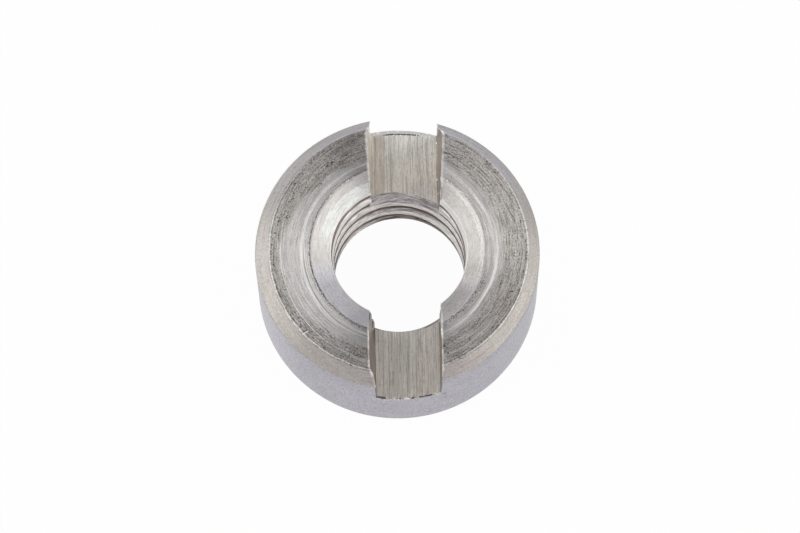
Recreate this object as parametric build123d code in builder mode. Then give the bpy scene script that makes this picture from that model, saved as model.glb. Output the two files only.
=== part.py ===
from build123d import *
from math import ceil, radians, tan
import os

# Slotted round nut: a turned steel ring with a threaded bore and a milled screwdriver slot.
# Millimetres. The axis is Z, the nut stands on its plain face at z = 0, and the slot runs along Y.

# Turned ring
outside_diameter = 11.0
height = 4.7
top_chamfer = 0.5
base_edge_radius = 0.12

# Right-hand M6 x 1 thread, with the height of a groove's middle above the base at angle zero
thread_diameter = 6.0
thread_pitch = 1.0
thread_depth = 0.47
thread_angle = 60.0
thread_root_flat = 0.125
thread_start = 0.66

# Countersinks at the two ends of the bore
face_countersink_diameter = 6.8
base_countersink_diameter = 7.3
countersink_angle = 120.0

# Screwdriver slot, milled across the top face a little to one side of the axis
slot_width = 2.6
slot_depth = 1.95
slot_offset = 0.3
slot_wall_lean = 4.0

# How far a cutter reaches past the surface that it breaks through
thread_cutter_reach = 0.1
slot_cutter_reach = 1.0


# Turned ring, from its half section
outer_radius = outside_diameter / 2
root_radius = thread_diameter / 2
bore_radius = root_radius - thread_depth
face_countersink_radius = face_countersink_diameter / 2
base_countersink_radius = base_countersink_diameter / 2
countersink_slope = tan(radians(90 - countersink_angle / 2))
face_countersink_depth = (face_countersink_radius - bore_radius) * countersink_slope
base_countersink_depth = (base_countersink_radius - bore_radius) * countersink_slope

with BuildPart() as slotted_nut:
    with BuildSketch(Plane.XZ):
        with BuildLine():
            Polyline(
                (bore_radius, base_countersink_depth),
                (base_countersink_radius, 0),
                (outer_radius, 0),
                (outer_radius, height - top_chamfer),
                (outer_radius - top_chamfer, height),
                (face_countersink_radius, height),
                (bore_radius, height - face_countersink_depth),
                close=True,
            )
        make_face()
    revolve(axis=Axis.Z)

    # The lower outside edge is only broken
    base_circles = slotted_nut.edges().filter_by(GeomType.CIRCLE).group_by(Axis.Z)[0]
    fillet(base_circles.sort_by(SortBy.RADIUS)[-1], base_edge_radius)

    # Thread groove, cut one turn at a time and right through both countersinks
    flank_slope = tan(radians(thread_angle / 2))
    root_half_width = thread_root_flat / 2
    mouth_radius = bore_radius - thread_cutter_reach
    mouth_half_width = root_half_width + (root_radius - mouth_radius) * flank_slope
    first_turn = thread_start - thread_pitch
    turns = ceil((height + mouth_half_width - first_turn) / thread_pitch)
    for turn in range(turns):
        turn_height = first_turn + turn * thread_pitch
        with BuildLine(Plane.XY.offset(turn_height)) as groove_path:
            Helix(thread_pitch, thread_pitch, root_radius)
        with BuildSketch(Plane.XZ):
            with BuildLine():
                Polyline(
                    (root_radius, turn_height + root_half_width),
                    (mouth_radius, turn_height + mouth_half_width),
                    (mouth_radius, turn_height - mouth_half_width),
                    (root_radius, turn_height - root_half_width),
                    close=True,
                )
            make_face()
        sweep(path=groove_path.line, is_frenet=True, mode=Mode.SUBTRACT)

    # Slot across the top, with walls that lean out towards the face
    slot_floor = height - slot_depth
    cutter_height = slot_depth + slot_cutter_reach
    slot_half_width = slot_width / 2
    cutter_half_width = slot_half_width + cutter_height * tan(radians(slot_wall_lean))
    with BuildSketch(Plane.XZ):
        with BuildLine():
            Polyline(
                (slot_offset - slot_half_width, slot_floor),
                (slot_offset + slot_half_width, slot_floor),
                (slot_offset + cutter_half_width, slot_floor + cutter_height),
                (slot_offset - cutter_half_width, slot_floor + cutter_height),
                close=True,
            )
        make_face()
    extrude(amount=outer_radius + slot_cutter_reach, both=True, mode=Mode.SUBTRACT)

slotted_nut.part.label = "slotted_nut"

os.makedirs("parts", exist_ok=True)
export_step(slotted_nut.part, "parts/slotted_nut.step")
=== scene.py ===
import itertools
import math

import bmesh
import bpy
import numpy as np
from mathutils import Matrix, Vector


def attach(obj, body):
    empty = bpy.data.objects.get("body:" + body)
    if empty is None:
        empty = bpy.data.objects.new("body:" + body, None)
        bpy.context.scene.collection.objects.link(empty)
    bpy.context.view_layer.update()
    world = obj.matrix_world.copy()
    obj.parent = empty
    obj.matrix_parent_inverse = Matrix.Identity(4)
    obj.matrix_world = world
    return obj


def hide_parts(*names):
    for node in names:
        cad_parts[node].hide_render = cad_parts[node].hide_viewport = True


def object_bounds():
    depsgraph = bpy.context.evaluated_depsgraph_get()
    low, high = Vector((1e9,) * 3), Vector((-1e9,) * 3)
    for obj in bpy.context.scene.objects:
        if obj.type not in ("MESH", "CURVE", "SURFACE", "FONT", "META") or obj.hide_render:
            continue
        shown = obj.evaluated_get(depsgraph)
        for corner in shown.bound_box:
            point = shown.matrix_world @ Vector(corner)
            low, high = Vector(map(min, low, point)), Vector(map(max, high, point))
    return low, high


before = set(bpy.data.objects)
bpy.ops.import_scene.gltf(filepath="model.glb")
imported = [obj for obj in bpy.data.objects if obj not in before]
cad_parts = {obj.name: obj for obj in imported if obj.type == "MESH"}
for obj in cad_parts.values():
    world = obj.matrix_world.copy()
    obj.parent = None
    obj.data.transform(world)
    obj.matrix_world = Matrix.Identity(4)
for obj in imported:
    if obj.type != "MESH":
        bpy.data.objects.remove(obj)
cad_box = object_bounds()

# Slotted round nut, dressed as turned, tapped and milled steel.
# Sizes are in millimetres until the meshes are made. The axis is Z and the slot runs along Y.
MM = 0.001
cad_low, cad_high = cad_box
OUTER_R = round((cad_high[0] - cad_low[0]) / 2 / MM, 3)
HEIGHT = round(cad_high[2] / MM, 3)

# Turned faces, which sit a little off the bar's own axis
LIP_H = 0.028
FACE_Z = HEIGHT - LIP_H
FACE_R = 4.995
FACE_X = 0.055
CSK_R = 3.385
CSK_X = 0.015
CSK_SLOPE = 0.53
MOUTH_R = 2.64
MOUTH_Z = FACE_Z - (CSK_R - MOUTH_R) * CSK_SLOPE
NECK_Z = 3.45
BORE_R = 2.555
BORE_X = 0.08
BASE_CSK_R = 3.69
BASE_CSK_Z = (BASE_CSK_R - BORE_R) * math.tan(math.radians(30))
BASE_EDGE_R = 0.12

# Thread
ROOT_R = 3.0
PITCH = 1.0
THREAD_START = 0.66
FLANK_SLOPE = math.tan(math.radians(30))
ROOT_HALF = 0.0625

# Slot: its floor, by y its left and right side at the floor and at the face, and its middle
SLOT_Z = 2.75
LEFT_FOOT = [(-5.5, -0.90), (-2.6, -0.93), (2.6, -1.01), (5.5, -1.01)]
RIGHT_FOOT = 1.61
LEFT_TOP = [
    (-5.40, -0.940), (-5.15, -0.975), (-4.72, -1.139), (-3.24, -1.160), (2.8, -1.034), (4.70, -1.150),
    (4.95, -1.060), (5.30, -1.010)]
RIGHT_TOP = [
    (-4.73, 1.683), (-3.30, 1.667), (2.75, 1.752), (4.60, 1.845), (4.80, 1.800), (5.00, 1.670), (5.30, 1.630)]
SLOT_MIDDLE = 0.35

# A nick in the rim, the way that a scratch runs from it, and the middle of the countersink's last pass
NICK = (-3.676, -3.40)
NICK_WAY = (0.856, 0.517)
LAST_PASS = (-0.2, 0.1)

# Materials, by their slots in the mesh
BAR, CHAMFER, FACE, CSK, THREAD, FLOOR, WALL, BASE = range(8)


# Seeded noise and curves
HASH_FACTORS = (73856093, 19349663, 83492791, 1640531513)
HASH_MIXER = 1274126177
LOW_31_BITS = 0x7FFFFFFF
LOW_16_BITS = 0xFFFF
NOISE_ORIGIN = (50, 50, 20)
NOISE_SLANT = (0.5, 0.7)


def smooth(edge0, edge1, x):
    """Rises smoothly from 0 at the first edge to 1 at the second."""
    t = np.clip((x - edge0) / (edge1 - edge0), 0, 1)
    return t * t * (3 - 2 * t)


def bell(x, width):
    """One at zero, and next to nothing past twice the width."""
    return np.exp(-(x / width) ** 2)


def lattice(i, j, k, seed):
    """A value from -1 to 1 for each point of a lattice of whole numbers."""
    to_i, to_j, to_k, to_seed = HASH_FACTORS
    n = (i * to_i) ^ (j * to_j) ^ (k * to_k) ^ (seed * to_seed)
    n = (n ^ (n >> 13)) & LOW_31_BITS
    n = (n * HASH_MIXER) & LOW_31_BITS
    n = (n ^ (n >> 16)) & LOW_16_BITS
    return 2 * n / LOW_16_BITS - 1.0


def noise(x, y, z, seed):
    """Smooth noise from -1 to 1, with one cell of the lattice a unit."""
    places = np.broadcast_arrays(*(np.asarray(v, float) for v in (x, y, z)))
    cells = [np.floor(v).astype(np.int64) for v in places]
    shares = [smooth(0, 1, v - cell) for v, cell in zip(places, cells)]
    total = 0.0
    for corner in itertools.product((0, 1), repeat=3):
        weight = 1.0
        for side, share in zip(corner, shares):
            weight = weight * (share if side else 1 - share)
        total = total + weight * lattice(*(cell + side for cell, side in zip(cells, corner)), seed)
    return total


def ring_noise(theta, s, per_radian, per_mm, seed):
    """Noise that closes round the axis: about per_radian cells a radian, and per_mm cells a millimetre of s.

    It is read on a slant, so that its cells don't line up with the rings.
    """
    depth = 0.8 * per_mm * np.asarray(s)
    x = np.cos(theta) * per_radian + NOISE_SLANT[0] * depth + NOISE_ORIGIN[0]
    y = np.sin(theta) * per_radian + NOISE_SLANT[1] * depth + NOISE_ORIGIN[1]
    return noise(x, y, depth + NOISE_ORIGIN[2], seed)


def along(x, table):
    """A value that follows x, from pairs of x and value."""
    return np.interp(x, *zip(*table))


def by_angle(theta, table):
    """A value that follows the angle, from pairs of degrees and value."""
    return np.interp(np.degrees(theta), *zip(*table), period=360)


# The blank's columns, and the marks that the facing tool left: for each its radius, as a share of the
# outer one, and its strength, by angle
COLUMNS = 720
RIDGE_H = 0.030
RIDGE_WIDTH = 0.045
RIDGE_STEP = 0.012
SCRATCH_H = 0.010
SCRATCH_WIDTH = 0.02
PIT_DEPTH = 0.012
TOOL_MARKS = {
    "ridge": (
        [(-180, 0.674), (-150, 0.680), (-130, 0.688), (-60, 0.694), (-30, 0.692), (0, 0.698), (30, 0.700),
         (179, 0.676)],
        [(-180, 0.8), (-150, 0.9), (-122, 0.35), (-105, 0.1), (-60, 0.6), (-30, 1.0), (0, 1.0), (12, 0.6),
         (26, 0.0), (170, 0.0)]),
    "inner_ridge": (
        [(-20, 0.684), (20, 0.676), (30, 0.670), (45, 0.672), (60, 0.680), (120, 0.668), (150, 0.676),
         (180, 0.674)],
        [(-170, 0.0), (-6, 0.0), (14, 0.7), (30, 1.0), (60, 0.7), (110, 0.2), (130, 0.5), (150, 0.8),
         (178, 0.8)]),
    "scratch": (
        [(-180, 0.825), (-150, 0.834), (-130, 0.840), (-60, 0.850), (-35, 0.838), (0, 0.83)],
        [(-180, 0.8), (-140, 1.0), (-115, 0.3), (-65, 0.7), (-50, 0.6), (-36, 0.1), (-30, 0.0), (0, 0.0),
         (160, 0.0)]),
}
theta = np.linspace(-math.pi, math.pi, COLUMNS, endpoint=False)
cos_t, sin_t = np.cos(theta), np.sin(theta)
mark_r = {name: OUTER_R * by_angle(theta, radii) for name, (radii, _) in TOOL_MARKS.items()}
mark_strength = {name: by_angle(theta, strengths) for name, (_, strengths) in TOOL_MARKS.items()}

# The lip at the rim
lip_strength = by_angle(theta, [
    (-180, 0.9), (-120, 0.8), (-60, 0.6), (-30, 0.9), (30, 0.7), (50, 0.2), (70, 0.1), (110, 0.1), (150, 0.1),
    (165, 0.8)])
lip_h = LIP_H * lip_strength * (0.55 + 0.45 * ring_noise(theta, 0, 30, 1, 3))
lip_h = lip_h * (0.8 + 0.4 * ring_noise(theta, 0, 9, 1, 4))


def torn(theta, r):
    """How torn the face is, 0 to 1: most near the rim, and right across beside the slot's back end."""
    inner = by_angle(theta, [
        (-180, 4.55), (-150, 4.5), (-120, 4.1), (-60, 4.0), (-30, 3.95), (0, 4.0), (60, 3.95), (110, 3.75),
        (140, 3.95), (165, 4.4)])
    return smooth(inner - 0.15, inner + 0.25, r + 0.1 * ring_noise(theta, r, 8, 2, 11))


def relief(r):
    """How far the face stands above its plane at the radii r, one for each column."""
    waves = 0.0035 * noise(0, 0, r * 9, 21) + 0.002 * noise(0, 0, r * 21, 22)
    waves = waves + 0.0035 * ring_noise(theta, r, 6, 14, 23)
    tearing = 0.004 * ring_noise(theta, r, 48, 16, 24) + 0.003 * ring_noise(theta, r, 14, 12, 25)
    pits = smooth(0.30, 0.75, ring_noise(theta, r, 42, 15, 26))
    pits = pits * (0.25 + 0.75 * smooth(-0.3, 0.4, ring_noise(theta, r, 7, 5, 27)))
    uneven = 0.8 + 0.3 * ring_noise(theta, 0, 12, 1, 28)
    both = ("ridge", "inner_ridge")
    ridges = sum(mark_strength[name] * bell(r - mark_r[name], RIDGE_WIDTH) for name in both)
    scratch = SCRATCH_H * mark_strength["scratch"] * bell(r - mark_r["scratch"], SCRATCH_WIDTH)
    step = RIDGE_STEP * smooth(0.02, 0.12, mark_r["ridge"] - r)
    return waves + torn(theta, r) * (tearing - PIT_DEPTH * pits) + uneven * RIDGE_H * ridges - step + scratch


# Turned blank: closed rings of points, each with the material of the band that follows it
rings, bands = [], []


def ring(r, z, x, band):
    """Adds a ring with its middle at x, and the material of the band that follows it."""
    rings.append(np.stack([x + r * cos_t, r * sin_t, z + 0 * theta], -1))
    bands.append(band)


# Base: countersink, face and broken edge
BASE_CSK_RINGS = 5
BASE_RINGS = 9
BASE_EDGE_RINGS = 4
for t in np.arange(BASE_CSK_RINGS) / BASE_CSK_RINGS:
    ring(BORE_R + (BASE_CSK_R - BORE_R) * t, BASE_CSK_Z * (1 - t), BORE_X, CSK)
for t in np.arange(BASE_RINGS + 1) / BASE_RINGS:
    r = BASE_CSK_R + (OUTER_R - BASE_EDGE_R - BASE_CSK_R) * t
    hollow = 0.004 * (0.5 + 0.5 * noise(0, 0, r * 6, 31)) * smooth(0, 0.1, t) * smooth(1, 0.9, t)
    ring(r, hollow, BORE_X * (1 - t), BASE)
for t in np.arange(1, BASE_EDGE_RINGS + 1) / BASE_EDGE_RINGS:
    a = t * math.pi / 2
    ring(OUTER_R - BASE_EDGE_R + BASE_EDGE_R * math.sin(a), BASE_EDGE_R - BASE_EDGE_R * math.cos(a), 0, BAR)

# Bar surface up to the chamfer's foot, which is lower where the bar stands out further from the turned axis
BAR_RINGS = 6
BAR_IN = 0.002
FOOT_IN = 0.010
FOOT_ROUND = 0.03
from_axis = np.hypot(OUTER_R * cos_t - FACE_X, OUTER_R * sin_t)
foot_z = FACE_Z - (from_axis - FACE_R) + 0.01 * ring_noise(theta, 0, 5, 1, 41)
for t in np.arange(1, BAR_RINGS) / BAR_RINGS:
    wave = 0.002 * ring_noise(theta, t, 3, 4, 42)
    ring(OUTER_R - BAR_IN + wave, BASE_EDGE_R + (foot_z - FOOT_ROUND - BASE_EDGE_R) * t, 0, BAR)
ring(OUTER_R - BAR_IN, foot_z - FOOT_ROUND, 0, BAR)
ring(OUTER_R - FOOT_IN, foot_z, 0, CHAMFER)

# Chamfer, with the grooves of a turning tool. Its last band before the edge has the face's material.
CHAMFER_RINGS = 12
edge_wave = 0.012 * ring_noise(theta, 0, 18, 1, 43) + 0.010 * ring_noise(theta, 0, 45, 1, 44)
edge_r = FACE_R + edge_wave * by_angle(theta, [
    (-180, 1.0), (-60, 1.0), (-30, 0.6), (0, 0.3), (60, 0.3), (110, 1.0)])
foot = np.stack([(OUTER_R - FOOT_IN) * cos_t, (OUTER_R - FOOT_IN) * sin_t, foot_z], -1)
edge = np.stack([FACE_X + edge_r * cos_t, edge_r * sin_t, FACE_Z - (edge_r - FACE_R)], -1)
outward = np.stack([cos_t, sin_t, 1 + 0 * theta], -1) / math.sqrt(2)
for t in np.arange(1, CHAMFER_RINGS + 1) / (CHAMFER_RINGS + 1):
    groove = 0.0015 * noise(0, 0, t * 23, 45) + 0.001 * ring_noise(theta, t, 4, 17, 46)
    rings.append(foot + (edge - foot) * t + outward * groove[:, None])
    bands.append(CHAMFER)
bands[-1] = FACE

# Face, from the lip at its rim to the ragged edge of the countersink, which is broken a little
FACE_RINGS = 42
LIP_IN = 0.022
EDGE_BREAK = 0.008
csk_r = CSK_R + 0.016 * ring_noise(theta, 0, 22, 1, 51) + 0.012 * ring_noise(theta, 0, 55, 1, 52)
lip_shares = [0.0, 0.012, 0.026, 0.045]
for t in [*lip_shares, *np.linspace(0.07, 0.985, FACE_RINGS - len(lip_shares)), 1.0]:
    r = edge_r + (csk_r - edge_r) * t
    inside = edge_r - r
    z = FACE_Z + lip_h * bell(inside - LIP_IN, LIP_IN) + relief(r) * smooth(0.0, 0.05, inside)
    if t == 1.0:
        z = z - EDGE_BREAK
    ring(r, np.minimum(z, HEIGHT), FACE_X + (CSK_X - FACE_X) * t, FACE)
bands[-1] = CSK

# Countersink, and the bore down to the base's countersink
CSK_RINGS = 16
BORE_RINGS = 6
BORE_BULGE = 0.015
for t in np.arange(1, CSK_RINGS + 1) / CSK_RINGS:
    r = csk_r + (MOUTH_R - csk_r) * t
    groove = 0.0012 * noise(0, 0, t * 19, 53) + 0.0012 * ring_noise(theta, t, 5, 14, 54)
    ring(r, FACE_Z - (CSK_R - r) * CSK_SLOPE + groove * (1 - t), CSK_X + (BORE_X - CSK_X) * t, CSK)
for t in np.arange(BORE_RINGS) / BORE_RINGS:
    ring(BORE_R + BORE_BULGE * math.sin(math.pi * t), NECK_Z + (BASE_CSK_Z - NECK_Z) * t, BORE_X, THREAD)


# Screen colours, 0 to 255: of thin painted highlights and glints, of thin dark marks, and white
SHINE = (252, 250, 243)
GAP = (78, 70, 64)
WHITE = (255, 255, 255)


def tone(r, g, b):
    """A node's colour, from screen values of 0 to 255."""
    shares = [value / 255 for value in (r, g, b)]
    return (*(c / 12.92 if c <= 0.04045 else ((c + 0.055) / 1.055) ** 2.4 for c in shares), 1.0)


class Shader:
    """The nodes of one steel. Coordinates are in millimetres, and cx and cy are the way out from the bore."""

    def __init__(self, name):
        self.material = bpy.data.materials.new(name)
        self.material.use_nodes = True
        self.tree = self.material.node_tree
        self.tree.nodes.clear()
        output = self.node("ShaderNodeOutputMaterial")
        self.surface = self.node("ShaderNodeBsdfPrincipled")
        self.put(output.inputs[0], self.surface.outputs[0])
        scaled = self.node("ShaderNodeVectorMath", operation="SCALE")
        self.put(scaled.inputs[0], self.node("ShaderNodeTexCoord").outputs["Object"])
        self.put(scaled.inputs["Scale"], 1 / MM)
        split = self.node("ShaderNodeSeparateXYZ")
        self.put(split.inputs[0], scaled.outputs[0])
        self.x, self.y, self.z = split.outputs
        from_bore = self.math("SUBTRACT", self.x, BORE_X)
        self.r = self.length(from_bore, self.y)
        self.cx = self.math("DIVIDE", from_bore, self.r)
        self.cy = self.math("DIVIDE", self.y, self.r)

    def node(self, kind, **settings):
        made = self.tree.nodes.new(kind)
        for key, value in settings.items():
            setattr(made, key, value)
        return made

    def put(self, socket, value):
        """Links a socket to another one, or sets it to a number or a colour."""
        if isinstance(value, bpy.types.NodeSocket):
            self.tree.links.new(value, socket)
        else:
            socket.default_value = value

    def math(self, operation, *values):
        made = self.node("ShaderNodeMath", operation=operation)
        for socket, value in zip(made.inputs, values):
            self.put(socket, value)
        return made.outputs[0]

    def product(self, *values):
        total = values[0]
        for value in values[1:]:
            total = self.math("MULTIPLY", total, value)
        return total

    def weighted(self, a, weight_a, b, weight_b):
        return self.math("ADD", self.math("MULTIPLY", a, weight_a), self.math("MULTIPLY", b, weight_b))

    def length(self, a, b):
        return self.math("SQRT", self.weighted(a, a, b, b))

    def vector(self, x, y, z):
        made = self.node("ShaderNodeCombineXYZ")
        for socket, value in zip(made.inputs, (x, y, z)):
            self.put(socket, value)
        return made.outputs[0]

    def polar(self, per_radian, per_radius, per_height=0.0):
        """Coordinates round the axis: cells a radian, a millimetre of radius and a millimetre of height."""
        depth = self.math("MULTIPLY", self.r, per_radius)
        if per_height:
            depth = self.math("MULTIPLY_ADD", self.z, per_height, depth)
        return self.vector(self.product(self.cx, per_radian), self.product(self.cy, per_radian), depth)

    def straight(self, x, y, z):
        """Coordinates along the three axes, in cells a millimetre."""
        return self.vector(self.product(self.x, x), self.product(self.y, y), self.product(self.z, z))

    def noise(self, vector, detail=2.0, roughness=0.5):
        made = self.node("ShaderNodeTexNoise")
        for key, value in (("Vector", vector), ("Scale", 1.0), ("Detail", detail), ("Roughness", roughness)):
            self.put(made.inputs[key], value)
        return made.outputs[0]

    def span(self, value, low, high, to_low=0.0, to_high=1.0):
        """Maps the span from low to high smoothly to the span from to_low to to_high."""
        made = self.node("ShaderNodeMapRange", interpolation_type="SMOOTHSTEP")
        keys = ("Value", "From Min", "From Max", "To Min", "To Max")
        for key, number in zip(keys, (value, low, high, to_low, to_high)):
            self.put(made.inputs[key], number)
        return made.outputs[0]

    def stripe(self, gap, offset, half):
        """One on a thin line at an offset from where the gap is zero."""
        away = self.math("ABSOLUTE", self.math("SUBTRACT", gap, offset))
        return self.span(away, half + 0.010, half - 0.010)

    def mix(self, factor, a, b):
        """Goes from colour a to colour b, each another node's or a screen colour."""
        made = self.node("ShaderNodeMix", data_type="RGBA", blend_type="MIX")
        self.put(made.inputs[0], factor)
        for socket, color in zip(made.inputs[6:8], (a, b)):
            self.put(socket, tone(*color) if isinstance(color, tuple) else color)
        return made.outputs[2]

    def over(self, color, mark, *factors):
        """Lays a mark's colour over a colour, by the product of the factors."""
        return self.mix(self.product(*factors), color, mark)

    def attribute(self, name):
        return self.node("ShaderNodeAttribute", attribute_name=name).outputs["Fac"]

    def finish(self, color, roughness, height, strength, distance, anisotropic=0.0, across=None):
        """Sets the surface: a bump of that height, and brushed marks at right angles to the way across."""
        bump = self.node("ShaderNodeBump")
        self.put(bump.inputs["Strength"], strength)
        self.put(bump.inputs["Distance"], distance * MM)
        self.put(bump.inputs["Height"], height)
        inputs = self.surface.inputs
        self.put(inputs["Base Color"], color)
        self.put(inputs["Roughness"], roughness)
        self.put(inputs["Metallic"], 1.0)
        self.put(inputs["Normal"], bump.outputs[0])
        if anisotropic:
            self.put(inputs["Anisotropic"], anisotropic)
            self.put(inputs["Tangent"], self.vector(*(across or (self.cx, self.cy, 0.0))))
        return self.material


def lip_marks(s, color):
    """The lip that the facing tool rolled at the rim, drawn as a painted highlight with a painted shade line
    inside it.
    """
    gap = s.attribute("edge_gap")
    uneven = s.noise(s.polar(50, 1), 2, 0.6)
    color = s.over(color, GAP, s.stripe(gap, -0.066, 0.020), s.span(uneven, 0.54, 0.40, 0.0, 0.6))
    bright_spots = s.span(uneven, 0.36, 0.52, 0.4, 1.0)
    return s.over(color, SHINE, s.stripe(gap, -0.008, 0.023), s.attribute("lip"), bright_spots)


def rim_marks(s, color):
    """The ragged edge of the countersink: dark at the left and the front, with chips at the back drawn as
    painted glints.
    """
    gap = s.attribute("csk_gap")
    ragged = s.noise(s.polar(55, 14), 2, 0.6)
    dark_spots = s.span(ragged, 0.40, 0.54, 0.35, 1.0)
    color = s.over(color, GAP, s.stripe(gap, 0.016, 0.026), s.attribute("dark"), dark_spots)
    # Crumbs at the front, which lie further out at the right than at the left
    crumbs = s.noise(s.polar(60, 20), 2, 0.6)
    at_front = s.span(s.cy, -0.1, -0.5)
    at_right = s.span(s.cx, 0.2, 0.5)
    at_left = s.math("SUBTRACT", 1.0, at_right)
    near = s.weighted(at_right, s.span(gap, 0.30, 0.14), at_left, s.span(gap, 0.15, 0.06))
    color = s.over(color, GAP, s.span(crumbs, 0.48, 0.58), at_front, near, s.span(gap, 0.02, 0.04), 0.75)
    color = s.over(color, (220, 220, 228), at_right, at_front, s.stripe(gap, 0.014, 0.022), 0.7)
    # Painted glints on chips at the back
    at_back = s.span(s.cy, 0.3, 0.7)
    return s.over(color, SHINE, s.span(ragged, 0.54, 0.60), at_back, s.stripe(gap, -0.004, 0.022))


def bar_material():
    """The bar's drawn surface, with fine short grain up the side."""
    s = Shader("drawn_bar")
    grain = s.noise(s.polar(75, 0, 16), 3)
    broad = s.noise(s.polar(5, 0, 1.5), 2)
    specks = s.noise(s.polar(75, 0, 16), 1)
    color = s.mix(s.span(broad, 0.3, 0.7), (172, 170, 178), (180, 178, 185))
    # Painted light: paler on the left side
    color = s.over(color, (192, 190, 198), s.span(s.cx, -0.6, -0.95))
    color = s.over(color, (146, 143, 150), s.span(grain, 0.45, 0.66, 0.0, 0.60))
    color = s.over(color, (210, 208, 213), s.span(grain, 0.44, 0.30, 0.0, 0.55))
    color = s.over(color, (105, 100, 102), s.span(specks, 0.68, 0.74, 0.0, 0.6))
    # Chips under the front end of the slot's floor, drawn as painted glints, and scores beside it at the
    # right
    at_front = s.span(s.y, -4.0, -4.4)
    under_floor = s.product(
        at_front, s.span(s.z, SLOT_Z - 0.09, SLOT_Z - 0.06), s.span(s.z, SLOT_Z + 0.09, SLOT_Z + 0.05),
        s.span(s.x, -0.92, -0.85), s.span(s.x, RIGHT_FOOT + 0.05, RIGHT_FOOT - 0.01))
    chips = s.noise(s.straight(5, 1, 9), 1)
    color = s.over(color, SHINE, under_floor, s.span(chips, 0.54, 0.60))
    scores = s.span(s.noise(s.straight(2, 1, 16), 1), 0.52, 0.58, 0.0, 0.7)
    beside = s.product(s.stripe(s.x, RIGHT_FOOT + 0.12, 0.10), s.stripe(s.z, SLOT_Z - 0.3, 0.45))
    color = s.over(color, (112, 104, 104), at_front, beside, scores)
    return s.finish(color, s.span(grain, 0.2, 0.8, 0.36, 0.5), grain, 0.35, 0.004)


def chamfer_material():
    """The turned chamfer, cool at the back and warm at the front."""
    s = Shader("turned_chamfer")
    lines = s.noise(s.polar(3, 34, -34), 3, 0.75)
    grain = s.noise(s.polar(60, 16, -16), 2, 0.6)
    at_back = s.span(s.cy, 0.15, 0.75)
    color = s.mix(at_back, (184, 178, 171), (177, 175, 178))
    # Painted light and shade: paler at the front left, darker at the far right
    color = s.over(color, (197, 193, 188), s.span(s.cx, -0.45, -0.80), s.span(s.cy, -0.5, 0.0), 0.8)
    color = s.over(color, (172, 167, 162), s.span(s.cx, 0.85, 0.98, 0.0, 0.5))
    color = s.over(color, (172, 166, 159), s.span(s.cy, -0.35, -0.55))
    color = s.over(color, (202, 194, 188), s.span(s.cy, -0.66, -0.88))
    color = s.over(color, (186, 186, 197), at_back, s.span(s.r, 5.20, 5.10))
    color = s.over(color, (206, 203, 199), s.span(lines, 0.38, 0.56, 0.35, 0.0))
    color = s.over(color, (156, 145, 138), s.span(lines, 0.50, 0.64, 0.0, 0.6))
    color = s.over(color, (138, 131, 126), s.span(grain, 0.52, 0.66, 0.0, 0.45))
    color = s.over(color, (222, 217, 211), s.span(grain, 0.44, 0.32, 0.0, 0.4))
    # Painted highlights on the slot's burrs, over the lip's marks
    color = s.over(lip_marks(s, color), SHINE, s.attribute("burr_highlight"))
    return s.finish(color, s.span(lines, 0.3, 0.7, 0.34, 0.46), lines, 0.3, 0.004, 0.5)


def face_ground(s, rag):
    """The face's colour before its marks: painted light makes it paler towards the two panels, and it is
    darker in patches beside the slot.
    """
    broad = s.noise(s.polar(7, 4), 3)
    cut = s.mix(s.span(broad, 0.3, 0.7), (214, 212, 208), (206, 203, 198))
    ragged = s.mix(s.span(broad, 0.35, 0.7), (210, 205, 198), (193, 187, 180))
    color = s.mix(rag, cut, ragged)
    # Painted light: paler towards the right panel, and below towards the left one
    to_right = s.weighted(s.cx, 0.77, s.cy, 0.64)
    to_right = s.product(s.span(to_right, 0.3, 1.0, 0.0, 0.50), s.span(rag, 0.0, 1.0, 0.7, 1.0))
    color = s.over(color, (246, 241, 233), to_right)
    to_left = s.weighted(s.cx, -0.94, s.cy, -0.34)
    to_left = s.product(s.span(to_left, 0.70, 0.96), s.span(rag, 0.0, 1.0, 0.4, 0.22))
    color = s.over(color, (248, 246, 240), to_left)
    color = s.over(color, (176, 170, 166), s.span(s.cx, 0.5, 0.8), s.span(s.cy, -0.05, -0.35), 0.3)
    # Darker patches beside the slot
    return s.over(color, (118, 115, 113), s.attribute("dark_patch"))


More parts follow.
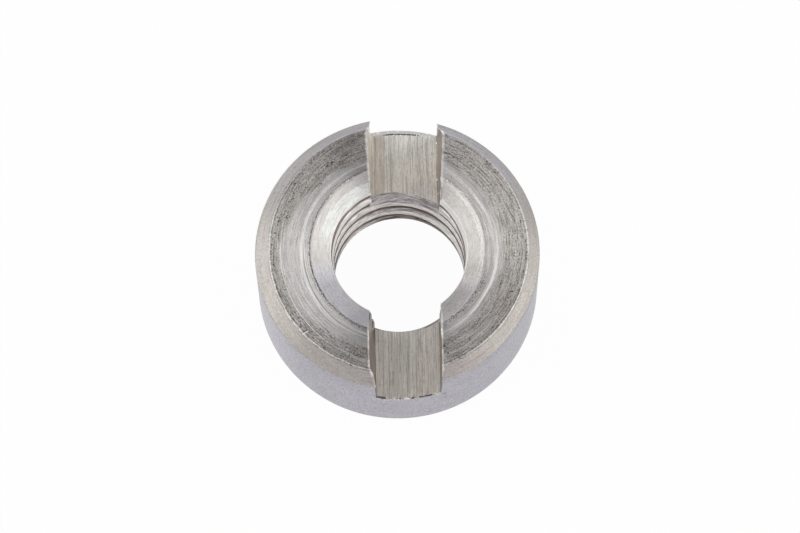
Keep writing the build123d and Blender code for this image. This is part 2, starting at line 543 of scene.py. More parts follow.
def face_wear(s, color, rag, fine, grain, pits):
    """Turning lines where the cut is clean, and grain, dark trails and pits where it is torn."""
    streaks = s.noise(s.polar(6, 30), 3, 0.65)
    holes = s.noise(s.polar(56, 17), 2, 0.6)
    cluster = s.noise(s.polar(6, 7), 3, 0.6)
    trails = s.noise(s.polar(5, 16), 3, 0.7)
    broad_lines = s.noise(s.polar(0.8, 15), 2, 0.8)
    color = s.over(color, (158, 152, 145), s.span(fine, 0.50, 0.64, 0.0, 0.50))
    color = s.over(color, (236, 234, 228), s.span(fine, 0.34, 0.45, 0.55, 0.0))
    color = s.over(color, (250, 248, 242), s.span(broad_lines, 0.40, 0.36), s.span(rag, 0.8, 0.2), 0.7)
    color = s.over(color, (140, 134, 127), s.span(streaks, 0.50, 0.64), s.span(rag, 0.0, 1.0, 0.35, 0.6))
    color = s.over(color, (112, 106, 100), s.span(trails, 0.52, 0.60), s.span(rag, 0.0, 1.0, 0.1, 0.5))
    color = s.over(color, (130, 124, 117), s.span(grain, 0.48, 0.64), s.span(rag, 0.0, 1.0, 0.3, 0.6),
                   s.span(s.cx, 0.3, 0.8, 1.0, 0.8))
    color = s.over(color, (236, 234, 230), s.span(grain, 0.45, 0.33), s.span(rag, 0.0, 1.0, 0.3, 0.55))
    crowded = s.math("MAXIMUM", s.span(cluster, 0.44, 0.60, 0.10, 1.0), s.span(trails, 0.50, 0.58, 0.0, 0.9))
    crowded = s.product(crowded, s.span(s.attribute("dark_patch"), 0.1, 0.4, 1.0, 0.6))
    color = s.over(color, (84, 77, 71), s.span(pits, 0.57, 0.63), s.span(rag, 0.0, 1.0, 0.05, 0.85), crowded,
                   s.span(s.cx, 0.4, 0.9, 1.0, 0.5))
    return s.over(color, (48, 42, 38), s.span(holes, 0.60, 0.64), s.span(rag, 0.3, 1.0, 0.0, 0.95), crowded)


def ridge_marks(s, color):
    """Painted highlights on the crests of the two ridges, stronger at the left, with a painted shade line and
    thinner painted highlights inside, and a painted highlight along the scratch.
    """
    uneven = s.span(s.noise(s.polar(40, 3), 2, 0.6), 0.35, 0.55, 0.5, 1.0)
    at_left = s.span(s.cx, 0.2, -0.4)
    gap, strength = s.attribute("ridge_gap"), s.attribute("ridge")
    color = s.over(color, (120, 114, 108), s.stripe(gap, -0.060, 0.026), strength, uneven, at_left, 0.35)
    color = s.over(color, SHINE, s.stripe(gap, -0.112, 0.020), strength, uneven, at_left, 0.9)
    color = s.over(color, SHINE, s.stripe(gap, -0.185, 0.014), strength, uneven, at_left, 0.6)
    color = s.over(color, SHINE, s.stripe(gap, 0.0, 0.030), strength, s.span(s.cx, -0.4, 0.4, 0.9, 0.6))
    inner_crest = s.span(s.math("ABSOLUTE", s.attribute("inner_ridge_gap")), 0.075, 0.025)
    color = s.over(color, SHINE, inner_crest, s.attribute("inner_ridge"), uneven, 0.6)
    return s.over(color, SHINE, s.stripe(s.attribute("scratch_gap"), 0.0, 0.016), s.attribute("scratch"), 0.8)


def nick_marks(s, color):
    """A nick in the rim at the front left, with a scratch that runs inwards from it, drawn as a painted
    highlight beside a painted shade line.
    """
    from_x, from_y = s.math("SUBTRACT", s.x, NICK[0]), s.math("SUBTRACT", s.y, NICK[1])
    run = s.stripe(s.weighted(from_x, NICK_WAY[0], from_y, NICK_WAY[1]), 0.13, 0.15)
    aside = s.weighted(from_y, NICK_WAY[0], from_x, -NICK_WAY[1])
    color = s.over(color, GAP, run, s.stripe(aside, 0.055, 0.020), 0.8)
    return s.over(color, SHINE, run, s.stripe(aside, 0.0, 0.020))


def face_material():
    """The faced top, clean inside and torn outside."""
    s = Shader("faced_steel")
    rag = s.attribute("torn")
    fine = s.noise(s.polar(2.5, 30), 4, 0.75)
    grain = s.noise(s.polar(80, 22), 3, 0.65)
    pits = s.noise(s.polar(46, 22), 2, 0.6)
    color = face_wear(s, face_ground(s, rag), rag, fine, grain, pits)
    color = nick_marks(s, ridge_marks(s, color))
    color = rim_marks(s, lip_marks(s, color))
    # Painted highlights on the slot's burrs
    color = s.over(color, SHINE, s.attribute("burr_highlight"))
    height = s.math("SUBTRACT", s.math("ADD", fine, grain), s.product(s.span(pits, 0.5, 0.66), rag))
    return s.finish(color, s.span(rag, 0.0, 1.0, 0.50, 0.60), height, 0.35, 0.005, 0.8)


def countersink_material():
    """The countersinks. In the upper one the tool's last pass is a paler ring, a little off centre."""
    s = Shader("countersunk_steel")
    fine = s.noise(s.polar(6, 44), 3, 0.75)
    grain = s.noise(s.polar(40, 24), 2, 0.6)
    pass_r = s.length(s.math("SUBTRACT", s.x, LAST_PASS[0]), s.math("SUBTRACT", s.y, LAST_PASS[1]))
    pass_r = s.math("MULTIPLY_ADD", s.noise(s.polar(30, 6), 2), 0.14, pass_r)
    # Painted light and shade: the tone changes from back to front and from side to side, palest at the front
    # right
    back = s.mix(s.span(s.cx, -0.5, 0.5), (203, 199, 193), (194, 190, 184))
    last_pass = s.mix(s.span(s.cy, 0.6, 0.9), (217, 218, 212), (234, 234, 229))
    back = s.over(back, last_pass, s.span(pass_r, 2.905, 2.865), s.span(s.cy, 0.0, 0.35))
    front = s.mix(s.span(s.cx, -0.45, -0.72), (206, 204, 206), (232, 230, 231))
    front_right = s.mix(s.span(s.cy, -0.38, -0.60), (252, 246, 239), (213, 207, 205))
    front = s.over(front, front_right, s.span(s.cx, -0.2, 0.6))
    turn = s.math("MULTIPLY_ADD", s.math("MAXIMUM", s.cx, 0.0), 0.2, s.cy)
    color = s.mix(s.span(turn, -0.03, -0.34), back, front)
    beside_edge = s.span(s.math("ABSOLUTE", s.math("ADD", s.attribute("csk_gap"), 0.11)), 0.12, 0.05)
    color = s.over(color, (232, 229, 222), beside_edge, s.span(s.cx, 0.3, 0.7), 0.45)
    color = s.over(color, (164, 160, 157), s.span(fine, 0.48, 0.64, 0.0, 0.5))
    color = s.over(color, (226, 224, 221), s.span(fine, 0.34, 0.44, 0.4, 0.0))
    color = s.over(color, (158, 152, 147), s.span(grain, 0.54, 0.70, 0.0, 0.45))
    mottled = s.span(s.noise(s.polar(26, 20), 3, 0.7), 0.48, 0.64)
    color = s.over(color, (166, 159, 155), mottled, s.span(s.cx, 0.0, 0.6), 0.5)
    color = s.over(color, (232, 230, 227), s.span(s.r, MOUTH_R + 0.005, MOUTH_R + 0.02, 1.0, 0.0))
    # Painted highlights on the slot's burrs
    color = s.over(rim_marks(s, color), SHINE, s.attribute("burr_highlight"))
    return s.finish(color, s.span(fine, 0.3, 0.7, 0.34, 0.44), fine, 0.3, 0.004, 0.6)


def thread_material():
    """The tapped thread, with painted shade in the grooves."""
    s = Shader("tapped_thread")
    lines = s.noise(s.polar(4, 13, 13), 3, 0.8)
    deep = s.span(s.math("SUBTRACT", s.r, s.attribute("shade_from")), -0.010, 0.010)
    at_side = s.span(s.math("ABSOLUTE", s.cx), 0.35, 0.80)
    pale = s.mix(at_side, (228, 222, 218), (232, 232, 226))
    dark = s.mix(at_side, (155, 147, 144), (182, 178, 173))
    color = s.mix(s.span(lines, 0.40, 0.60), pale, dark)
    # Painted shade deep in the grooves
    color = s.over(color, (108, 90, 83), deep, s.attribute("groove_shade"))
    return s.finish(color, s.span(lines, 0.3, 0.7, 0.36, 0.48), lines, 0.4, 0.005, 0.4)


def floor_end_marks(s, color):
    """A curled burr with a groove beside it in painted shade, and white specks as painted glints, at the back
    end; chips as painted glints and gaps in painted shade at the front end.
    """
    dashes = s.noise(s.straight(4.5, 1, 1), 3, 0.7)
    chips = s.noise(s.straight(5, 4, 1), 2, 0.6)
    specks = s.noise(s.straight(13, 11, 1), 1)
    at_back = s.math("GREATER_THAN", s.y, 0.0)
    at_front = s.math("SUBTRACT", 1.0, at_back)
    color = s.over(color, (214, 211, 208), at_back, s.span(s.r, OUTER_R - 0.14, OUTER_R - 0.11))
    groove = s.product(
        s.span(s.r, OUTER_R - 0.19, OUTER_R - 0.17), s.span(s.r, OUTER_R - 0.115, OUTER_R - 0.135),
        s.span(s.x, -0.6, -0.3), s.span(s.x, 1.05, 0.80))
    color = s.over(color, (60, 50, 44), groove, at_back, s.span(dashes, 0.36, 0.44, 0.2, 0.9))
    back_rim = s.span(s.r, OUTER_R - 0.23, OUTER_R - 0.20)
    color = s.over(color, WHITE, at_back, back_rim, s.span(specks, 0.62, 0.68), 0.8)
    front_rim = s.product(at_front, s.span(s.r, OUTER_R - 0.10, OUTER_R - 0.07))
    color = s.over(color, (98, 86, 80), front_rim, s.span(dashes, 0.51, 0.55), 0.85)
    return s.over(color, WHITE, front_rim, s.span(chips, 0.53, 0.57))


def floor_material():
    """The slot's floor, with the milling cutter's long marks."""
    s = Shader("milled_floor")
    lines = s.noise(s.straight(22, 0.25, 6), 3, 0.75)
    fine = s.noise(s.straight(46, 1.5, 6), 3, 0.7)
    grain = s.noise(s.straight(26, 7, 6), 2, 0.6)
    patches = s.noise(s.straight(1.6, 0.8, 1), 2)
    # Painted light: paler towards the back
    color = s.mix(s.span(s.y, -2.0, 2.0), (229, 224, 215), (243, 238, 227))
    color = s.over(color, (214, 218, 210), s.span(patches, 0.48, 0.62, 0.0, 0.4))
    far_end = s.math("MULTIPLY_ADD", lines, 1.2, s.y)
    color = s.over(color, (230, 235, 227), s.span(far_end, 4.75, 5.05), s.span(s.x, -0.5, -0.2), 0.4)
    color = s.over(color, (170, 158, 146), s.span(lines, 0.50, 0.64, 0.0, 0.55))
    color = s.over(color, (255, 252, 245), s.span(lines, 0.34, 0.45, 0.5, 0.0))
    color = s.over(color, (176, 166, 154), s.span(fine, 0.50, 0.62, 0.0, 0.6))
    color = s.over(color, (160, 151, 140), s.span(grain, 0.54, 0.70, 0.0, 0.45))
    # Painted shade beside the left wall at the back
    beside_wall = s.product(s.span(s.x, -0.97, -0.85), s.span(s.x, -0.38, -0.62))
    color = s.over(color, (160, 146, 130), s.span(s.y, 1.0, 2.0), beside_wall, 0.4)
    height = s.math("ADD", lines, fine)
    color = floor_end_marks(s, color)
    return s.finish(color, s.span(lines, 0.3, 0.7, 0.48, 0.58), height, 0.3, 0.005, 0.8, (1.0, 0.0, 0.0))


def wall_material():
    """The slot's two walls, with the milling cutter's marks along them."""
    s = Shader("milled_wall")
    lines = s.noise(s.straight(3, 0.5, 18), 3, 0.65)
    chips = s.noise(s.straight(2, 8, 8), 2, 0.6)
    at_left, at_right = s.span(s.x, 0.0, -0.5), s.span(s.x, 0.0, 0.5)
    color = s.mix(s.span(lines, 0.35, 0.65), (190, 182, 174), (152, 140, 132))
    # Painted highlight: the left wall near-white towards the back
    color = s.over(color, (250, 244, 234), at_left, s.span(s.y, 0.5, 2.5))
    # Painted glints on chips at the foot of the right wall, at the back
    right_back_foot = s.product(at_right, s.span(s.y, 2.0, 3.0), s.span(s.z, SLOT_Z + 0.5, SLOT_Z + 0.3))
    color = s.over(color, (250, 246, 238), right_back_foot, s.span(chips, 0.58, 0.63))
    # Painted shade that hides the white floor's reflection at the front of the left wall, near the bore
    color = s.over(color, (134, 123, 115), at_left, s.span(s.y, -1.5, -2.0), s.span(s.r, 3.50, 3.05))
    # Painted highlights on the slot's burrs
    color = s.over(color, SHINE, s.attribute("burr_highlight"))
    return s.finish(color, s.span(lines, 0.3, 0.7, 0.36, 0.48), lines, 0.3, 0.005, 0.3, (0.0, 0.0, 1.0))


def base_material():
    """The plain turned base."""
    s = Shader("turned_base")
    lines = s.noise(s.polar(5, 24), 4, 0.65)
    broad = s.noise(s.polar(5, 2), 2)
    color = s.mix(s.span(broad, 0.35, 0.65), (200, 198, 195), (186, 183, 180))
    color = s.over(color, (152, 149, 146), s.span(lines, 0.48, 0.66, 0.0, 0.5))
    return s.finish(color, s.span(lines, 0.3, 0.7, 0.40, 0.50), lines, 0.3, 0.005, 0.6)


materials = [
    bar_material(), chamfer_material(), face_material(), countersink_material(), thread_material(),
    floor_material(), wall_material(), base_material()]


def piece(name, loops, closed, kind_of):
    """A closed mesh between point loops of one length, with kind_of(loop, point) as its faces' materials.

    Where closed is true the last loop is joined to the first, and otherwise the two ends are capped.
    """
    count, size = len(loops), len(loops[0])
    faces, kinds = [], []
    for i in range(count if closed else count - 1):
        a, b = i * size, ((i + 1) % count) * size
        for j in range(size):
            k = (j + 1) % size
            faces.append((a + j, a + k, b + k, b + j))
            kinds.append(kind_of(i, j))
    if not closed:
        faces.append(tuple(range(size - 1, -1, -1)))
        faces.append(tuple((count - 1) * size + j for j in range(size)))
        kinds += [kind_of(0, 0), kind_of(count - 1, 0)]
    mesh = bpy.data.meshes.new(name)
    mesh.from_pydata((np.concatenate(loops) * MM).tolist(), [], faces)
    for material in materials:
        mesh.materials.append(material)
    mesh.polygons.foreach_set("material_index", np.asarray(kinds, np.int32))
    shape = bmesh.new()
    shape.from_mesh(mesh)
    bmesh.ops.recalc_face_normals(shape, faces=shape.faces)
    shape.to_mesh(mesh)
    shape.free()
    obj = bpy.data.objects.new(name, mesh)
    bpy.context.scene.collection.objects.link(obj)
    return obj


# Tap: one helical tooth. Thin burrs from the countersinking tool cover the groove's two ends, so the tooth
# stays between the cones and stops where it would pass through them.
STEPS_PER_TURN = 300
TURNS_PAST_CONE = 0.26
BURR = 0.04
GROUND_Z = BASE_CSK_Z + 0.03
THIN_EDGE = 0.008
THIN_TOOTH = 0.004

# Radii of the tooth's points, apart from its root and the two at the broken crest
TOOTH_RADII_IN = (2.42, 2.565, 2.60, 2.65, 2.70)
TOOTH_RADII_OUT = (2.88, 2.93, 2.985)

# The thin crest under the floor's front edge has broken away, and the milling cutter has dragged the
# groove's edge at the back of the floor, by degrees
THIN_CREST = 0.47
BROKEN_R = 2.785
BROKEN_X = (-0.97, 1.66)
DRAG_REACH = 0.4
DRAG = [(40, 0.0), (58, 0.040), (68, 0.054), (88, -0.051), (112, -0.160), (125, 0.0)]

# Some crests sag a little, by degrees from the thread's start
SAG = [
    (0, 0.0), (15, 0.10), (30, 0.14), (55, 0.14), (75, 0.06), (90, 0.0), (720, 0.0), (744, 0.06), (757, 0.15),
    (768, 0.20), (772, 0.20), (774, 0.0), (960, 0.0), (1060, 0.35), (1104, 0.40), (1118, 0.31), (1128, 0.25),
    (1205, 0.19), (1214, 0.26), (1224, 0.16), (1240, 0.0)]

first_turn = (BASE_CSK_Z - THREAD_START) / PITCH - TURNS_PAST_CONE
last_turn = (MOUTH_Z - THREAD_START) / PITCH + TURNS_PAST_CONE
steps = np.arange(math.floor(first_turn * STEPS_PER_TURN), math.ceil(last_turn * STEPS_PER_TURN))
tap_angles = steps / STEPS_PER_TURN * 2 * math.pi


def tooth_edges(r, low, high):
    """The tooth's lower and upper edge at the radius r, kept between the cones and a hair apart."""
    roof = MOUTH_Z - BURR + (r - MOUTH_R) * CSK_SLOPE
    high = min(max(high, GROUND_Z + THIN_EDGE), roof)
    low = min(max(min(low, roof - THIN_EDGE), GROUND_Z), high - THIN_TOOTH)
    return low, high


def tooth(a):
    """The tooth's outline at an angle that counts on from the thread's start."""
    turned = math.degrees(a)
    degrees = (turned + 180) % 360 - 180
    middle = turned / 360 * PITCH + THREAD_START
    under_front = degrees < 0 and 0 < SLOT_Z - middle < THIN_CREST
    drag = along(degrees, DRAG) if abs(middle - SLOT_Z) < DRAG_REACH else 0.0
    broken_r = BROKEN_R + 0.25 * math.cos(a) ** 2 - 0.03 * math.cos(a)
    radii = np.array([*TOOTH_RADII_IN, broken_r - 0.005, broken_r + 0.005, *TOOTH_RADII_OUT])
    rows = np.arange(len(radii)) * 0.4
    rag_high, rag_low = (
        0.008 * noise(a * 7, rows, 0, seed) + 0.005 * noise(a * 23, rows, 0, seed + 1) for seed in (61, 63))
    halves = ROOT_HALF + (ROOT_R - radii) * FLANK_SLOPE
    highs = middle + halves + rag_high - along(turned, SAG) * smooth(2.85, 2.60, radii)
    lows = middle - halves - rag_low + drag * smooth(2.58, 2.80, radii)
    at_x = BORE_X + radii * math.cos(a)
    broken = under_front & (radii < broken_r) & (BROKEN_X[0] < at_x) & (at_x < BROKEN_X[1])
    highs = np.where(broken, SLOT_Z + 0.03, highs)
    edges = [(r, *tooth_edges(r, low, high)) for r, low, high in zip(radii, lows, highs)]
    edges.append((ROOT_R, *tooth_edges(ROOT_R, middle - 0.03 + min(drag, 0.04), middle + 0.03)))
    outline = [(r, high) for r, _, high in edges] + [(r, low) for r, low, _ in edges[::-1]]
    # The groove starts shallow at the base
    ramp = smooth(40, 260, turned - math.degrees(tap_angles[0])) * 0.75 + 0.25
    outline = [(r if r < BORE_R else BORE_R + (r - BORE_R) * ramp, z) for r, z in outline]
    return np.array([(BORE_X + r * math.cos(a), r * math.sin(a), z) for r, z in outline])


# Slot cutter: walls that lean and twist a little, and a floor with the cutter's long marks
WALL_Z = np.array([
    2.80, 2.86, 2.95, 3.1, 3.25, 3.4, 3.55, 3.7, 3.85, 4.0, 4.12, 4.24, 4.36, 4.46, 4.55, 4.62, 4.67, 4.72,
    4.85, 5.2])
FLOOR_COLUMNS = 46
FLOOR_MARKS = ((0.006, 11, 0.15, 75), (0.004, 5, 0.3, 76), (0.003, 20, 0.4, 77))
CORNER = 0.03
CUTTER_REACH = 6.3
end_stations = np.arange(2.0, 5.75, 0.05)
middle_stations = np.arange(-1.8, 1.9, 0.2)
stations = [-CUTTER_REACH, *-end_stations[::-1], *middle_stations, *end_stations, CUTTER_REACH]


def wall(y, foot, top, seed):
    """One wall's x at the heights WALL_Z: straight from its foot, and more ragged near the face."""
    rise = (WALL_Z - SLOT_Z) / (FACE_Z - SLOT_Z)
    ragged = 0.004 * noise(y * 1.5, WALL_Z * 9, 0, seed)
    ragged = ragged + 0.012 * smooth(0.75, 1.0, rise) * noise(y * 5, WALL_Z * 2, 0, seed + 1)
    return foot + (top - foot) * rise + ragged


def slot_outline(y):
    """Down the left wall, across the floor and up the right wall."""
    left_foot = along(y, LEFT_FOOT)
    left = wall(y, left_foot, along(y, LEFT_TOP), 71)
    right = wall(y, RIGHT_FOOT, along(y, RIGHT_TOP), 73)
    width = RIGHT_FOOT - left_foot - 2 * CORNER
    floor_x = left_foot + CORNER + width * np.linspace(0, 1, FLOOR_COLUMNS)
    floor_z = SLOT_Z
    for height, across, lengthways, seed in FLOOR_MARKS:
        floor_z = floor_z + height * noise(floor_x * across, y * lengthways, 0, seed)
    x = np.concatenate([left[::-1], floor_x, right])
    z = np.concatenate([WALL_Z[::-1], floor_z, WALL_Z])
    return np.stack([x, y + 0 * x, z], -1)


def slot_kind(station, point):
    """Floor between the two walls' points."""
    walls = len(WALL_Z)
    return FLOOR if walls <= point < walls + FLOOR_COLUMNS - 1 else WALL


blank = piece("nut_blank", rings, True, lambda i, j: bands[i])
tap = piece("tap", [tooth(a) for a in tap_angles], False, lambda i, j: THREAD)
cutter = piece("slot_cutter", [slot_outline(y) for y in stations], False, slot_kind)
for tool in (tap, cutter):
    cut = blank.modifiers.new("cut_" + tool.name, "BOOLEAN")
    cut.operation = "DIFFERENCE"
    cut.solver = "MANIFOLD"
    cut.object = tool
    cut.material_mode = "INDEX"
depsgraph = bpy.context.evaluated_depsgraph_get()
mesh = bpy.data.meshes.new_from_object(blank.evaluated_get(depsgraph))
mesh.name = "nut"
nut = bpy.data.objects.new("turned_nut", mesh)
bpy.context.scene.collection.objects.link(nut)
for obj in (blank, tap, cutter):
    bpy.data.objects.remove(obj)


def read(items, name, width=1, kind=np.int32):
    """One property of a mesh's items, as an array."""
    values = np.empty(len(items) * width, kind)
    items.foreach_get(name, values)
    return values


# The two materials that meet at each edge, and the edge's two vertices
face_kinds = np.repeat(read(mesh.polygons, "material_index"), read(mesh.polygons, "loop_total"))
order = np.argsort(read(mesh.loops, "edge_index"), kind="stable")
edge_kinds = face_kinds[order].reshape(-1, 2)
edge_ends = read(mesh.edges, "vertices", 2).reshape(-1, 2)
points = read(mesh.vertices, "co", 3, float).reshape(-1, 3) / MM
at_x, at_y, at_z = points.T


def border(kinds_a, kinds_b):
    """Which vertices lie where faces of the first kinds meet faces of the second."""
    one, other = edge_kinds.T
    hit = np.isin(one, kinds_a) & np.isin(other, kinds_b)
    hit |= np.isin(other, kinds_a) & np.isin(one, kinds_b)
    found = np.zeros(len(points), bool)
    found[edge_ends[hit].ravel()] = True
    return found


# Burrs along the slot's upper edges lean over the slot, with hardly any at the front left near the bore.
# The rims of the slot's floor are chipped.
BURR_LEAN = 0.055
BURR_H = 0.025
CHIP_H = 0.020
top_edge = border([WALL], [FACE, CHAMFER, CSK])
floor_rim = border([FLOOR], [BAR])
angle = np.arctan2(at_y, at_x - BORE_X)
radius = np.hypot(at_x - BORE_X, at_y)
front_left = (at_x < 0) & (at_y < 0)
off_bore = smooth(3.1, 3.6, radius)
inwards = np.sign(SLOT_MIDDLE - at_x)
ragged = 0.5 + 0.5 * noise(at_y * 7, at_x * 2, 0, 81)
ragged = ragged * (0.75 + 0.25 * noise(at_y * 19, 0, 0, 82))
ragged = ragged * np.where(front_left, 0.15 + 0.85 * off_bore, 1)
slot_edge = np.minimum(np.abs(at_x - along(at_y, LEFT_TOP)), np.abs(at_x - along(at_y, RIGHT_TOP)))
at_x += np.where(top_edge, inwards * BURR_LEAN * ragged, 0)
at_z += np.where(top_edge, BURR_H * ragged, 0)
chip = noise(at_x * 9, at_y, 0, 83) + 0.5 * noise(at_x * 24, at_y, 0, 84)
at_z += np.where(floor_rim, CHIP_H * chip, 0)
np.minimum(at_z, HEIGHT, out=at_z)
mesh.vertices.foreach_set("co", (points * MM).ravel())

# Where each vertex lies as seen from the face's own middle, which goes from FACE_X at the rim to CSK_X
inward_share = np.clip((FACE_R - radius) / (FACE_R - CSK_R), 0, 1)
face_x = at_x - (FACE_X + (CSK_X - FACE_X) * inward_share)
face_radius = np.hypot(face_x, at_y)
face_angle = np.arctan2(at_y, face_x)
face_degrees = np.degrees(face_angle)


def at_face(values):
    """The columns' values, read at each vertex."""
    return np.interp(face_angle, theta, values, period=2 * math.pi)


# Painted highlights on the burrs along the slot's upper edges
near_face = at_z > HEIGHT - 0.2
burr_width = np.where(at_y > 0, 0.095, np.where(at_x > 0, 0.065, 0.050)) * (0.35 + 1.1 * ragged)
spots = 0.8 + 0.3 * noise(at_x * 12, at_y * 12, 0, 96)
burr_highlight = np.where(top_edge, 1.0, 0.0) * (0.4 + 0.6 * ragged)
burr_highlight = np.maximum(burr_highlight, near_face * spots * smooth(burr_width, burr_width * 0.5, slot_edge))
burr_highlight = burr_highlight * np.where(front_left, 0.1 + 0.9 * off_bore, 1)

# Patches beside the slot where the face is darker
dark_patch = 0.42 * bell(face_degrees - 114, 13) + 0.42 * bell(face_degrees + 110, 9)
dark_patch = dark_patch + 0.30 * bell(face_degrees + 64, 5)
dark_patch = dark_patch * (0.8 + 0.3 * ring_noise(face_angle, face_radius, 9, 3, 98))
dark_patch = dark_patch * smooth(5.0, 4.2, face_radius - np.where(at_y > 0, 0.8, 0.0))
dark_patch = dark_patch * (1 + 0.5 * smooth(4.0, 3.6, face_radius))

# Painted shade in the thread's grooves starts at a radius that is smaller where a crest sags. There is none
# close under the slot's floor, where the grooves lie open to the light.
SIGHT_SLOPE = 3.66
under_slot = (at_x > -1.05) & (at_x < RIGHT_FOOT + 0.05)
under_slot &= (at_z > np.where(at_y < 0, 1.6, 2.3)) & (at_z < SLOT_Z + 0.05)
groove_shade = np.where(under_slot, 0.0, np.where((at_z < 1.1) & (at_x > 0.4), 0.6, 0.9))
turned = np.degrees(angle)
turned = turned + 360 * np.round(((at_z - THREAD_START) / PITCH * 360 - turned) / 360)
sag_share = np.where(at_x > 0, 0.5, 0.15)
shade_from = 2.550 + 0.130 * np.abs(np.sin(angle)) - sag_share * along(turned, SAG) / SIGHT_SLOPE

# The gaps are distances from a line on the face. The countersink's edge has none on the base's side.
NO_GAP = 9.0
csk_dark = by_angle(face_angle, [
    (-180, 0.9), (-150, 0.95), (-120, 0.6), (-60, 0.0), (-30, 0.0), (0, 0.3), (60, 0.35), (120, 0.5),
    (150, 0.8)])
attributes = {
    "torn": torn(face_angle, face_radius),
    "burr_highlight": np.clip(burr_highlight, 0, 1),
    "dark_patch": np.clip(dark_patch, 0, 1),
    "groove_shade": groove_shade,
    "shade_from": shade_from,
    "dark": csk_dark,
    "lip": at_face(lip_strength),
    "edge_gap": face_radius - at_face(edge_r),
    "csk_gap": np.where(at_z > SLOT_Z, face_radius - at_face(csk_r), NO_GAP),
}
for name in TOOL_MARKS:
    attributes[name] = at_face(mark_strength[name])
    attributes[name + "_gap"] = face_radius - at_face(mark_r[name])
for name, values in attributes.items():
    layer = mesh.attributes.new(name, "FLOAT", "POINT")
    layer.data.foreach_set("value", np.asarray(values, np.float32))

SHARP_ANGLE = math.radians(33)
mesh.shade_smooth()
mesh.set_sharp_from_angle(angle=SHARP_ANGLE)
mesh.validate()
mesh.update()

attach(nut, "root")
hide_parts("slotted_nut")


# Floor, with its sizes in metres
FLOOR_HALF = 0.6
FLOOR_DROP = 0.00002
FLOOR_WHITE = 0.96
PAPER_COLOR = (0.93, 0.93, 0.94, 1)
WHITE_GLOW = (1, 1, 1, 1)


def paper_material():
    """A pale matte floor that keeps the shadow, and that the camera and reflections see as white."""
    material = bpy.data.materials.new("white_floor")
    material.use_nodes = True
    nodes, links = material.node_tree.nodes, material.node_tree.links
    nodes.clear()
    path = nodes.new("ShaderNodeLightPath")
    seen = path.outputs["Is Camera Ray"]
    for ray in ("Is Glossy Ray", "Is Transmission Ray"):
        either = nodes.new("ShaderNodeMath")
        either.operation = "MAXIMUM"
        links.new(seen, either.inputs[0])
        links.new(path.outputs[ray], either.inputs[1])
        seen = either.outputs[0]
    share = nodes.new("ShaderNodeMath")
    share.operation = "MULTIPLY"
    share.inputs[1].default_value = FLOOR_WHITE
    links.new(seen, share.inputs[0])
    matte = nodes.new("ShaderNodeBsdfDiffuse")
    matte.inputs["Color"].default_value = PAPER_COLOR
    glow = nodes.new("ShaderNodeEmission")
    glow.inputs["Color"].default_value = WHITE_GLOW
    glow.inputs["Strength"].default_value = 1.0
    mixer = nodes.new("ShaderNodeMixShader")
    output = nodes.new("ShaderNodeOutputMaterial")
    for socket, value in zip(mixer.inputs, (share.outputs[0], matte.outputs[0], glow.outputs[0])):
        links.new(value, socket)
    links.new(mixer.outputs[0], output.inputs[0])
    return material


corners = [(-1, -1), (1, -1), (1, 1), (-1, 1)]
floor_mesh = bpy.data.meshes.new("floor")
floor_mesh.from_pydata([(x * FLOOR_HALF, y * FLOOR_HALF, 0) for x, y in corners], [], [(0, 1, 2, 3)])
floor_mesh.materials.append(paper_material())
floor = bpy.data.objects.new("floor", floor_mesh)
floor.location.z = -FLOOR_DROP
bpy.context.scene.collection.objects.link(floor)

# Studio: a soft grey room and two large side panels
ROOM_COLOR = (0.56, 0.56, 0.59, 1)
scene = bpy.context.scene
scene.view_settings.view_transform = "Standard"
world = bpy.data.worlds.new("studio")
scene.world = world
world.use_nodes = True
room = world.node_tree.nodes["Background"]
room.inputs["Color"].default_value = ROOM_COLOR
room.inputs["Strength"].default_value = 1.0


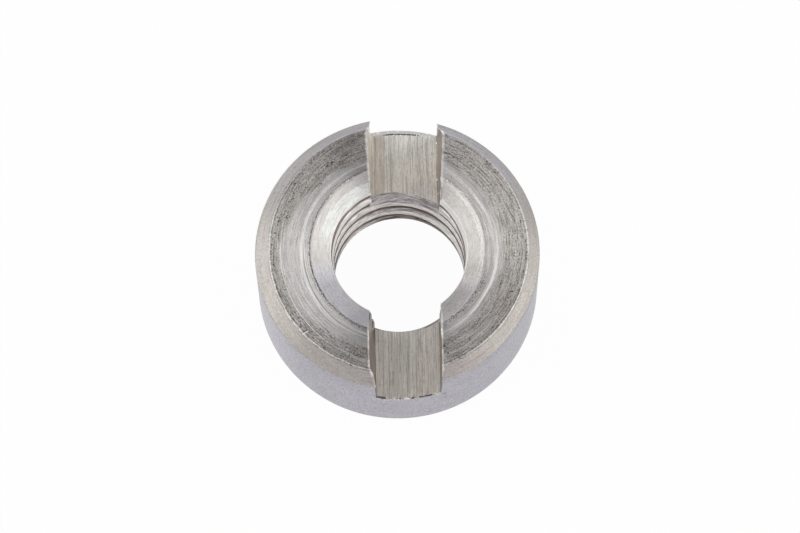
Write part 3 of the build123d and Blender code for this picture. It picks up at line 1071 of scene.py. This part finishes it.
def panel(name, azimuth, elevation, distance, width, height, radiance):
    """A soft light that faces the nut. Angles are in degrees and lengths in metres."""
    a, e = math.radians(azimuth), math.radians(elevation)
    direction = Vector((math.cos(a) * math.cos(e), math.sin(a) * math.cos(e), math.sin(e)))
    light = bpy.data.lights.new(name, "AREA")
    light.shape = "RECTANGLE"
    light.size = width
    light.size_y = height
    light.energy = radiance * math.pi * width * height
    obj = bpy.data.objects.new(name, light)
    obj.location = direction * distance
    obj.rotation_euler = direction.to_track_quat("Z", "Y").to_euler()
    scene.collection.objects.link(obj)


panel("left_panel", azimuth=178, elevation=32, distance=0.30, width=0.36, height=0.36, radiance=1.03)
panel("right_panel", azimuth=-6, elevation=31, distance=0.30, width=0.38, height=0.32, radiance=1.12)

# Camera at the photograph's angle and distance. Lengths are in outer radii of the nut, and the focal length
# gives the radius its size in the photo.
CAMERA_ELEVATION = math.radians(72.13)
CAMERA_ROLL = math.radians(-0.83)
CAMERA_DISTANCE = 30
CAMERA_RIGHT = 0.0177
CAMERA_UP = 0.1341
PHOTO_WIDTH = 800
RADIUS_PIXELS = 139.05
SENSOR_WIDTH = 36
ahead = Vector((0, math.cos(CAMERA_ELEVATION), -math.sin(CAMERA_ELEVATION)))
right = Vector((1, 0, 0))
up = Vector((0, math.sin(CAMERA_ELEVATION), math.cos(CAMERA_ELEVATION)))
eye = (right * CAMERA_RIGHT + up * CAMERA_UP - ahead * CAMERA_DISTANCE) * OUTER_R * MM
rolled_right = right * math.cos(CAMERA_ROLL) + up * math.sin(CAMERA_ROLL)
rolled_up = up * math.cos(CAMERA_ROLL) - right * math.sin(CAMERA_ROLL)
camera_data = bpy.data.cameras.new("camera")
camera_data.sensor_width = SENSOR_WIDTH
camera_data.lens = RADIUS_PIXELS * CAMERA_DISTANCE * SENSOR_WIDTH / PHOTO_WIDTH
camera_data.clip_start = 0.005
camera_data.clip_end = 10
camera = bpy.data.objects.new("camera", camera_data)
scene.collection.objects.link(camera)
turn = Matrix((rolled_right, rolled_up, -ahead)).transposed()
camera.matrix_world = Matrix.Translation(eye) @ turn.to_4x4()
scene.camera = camera
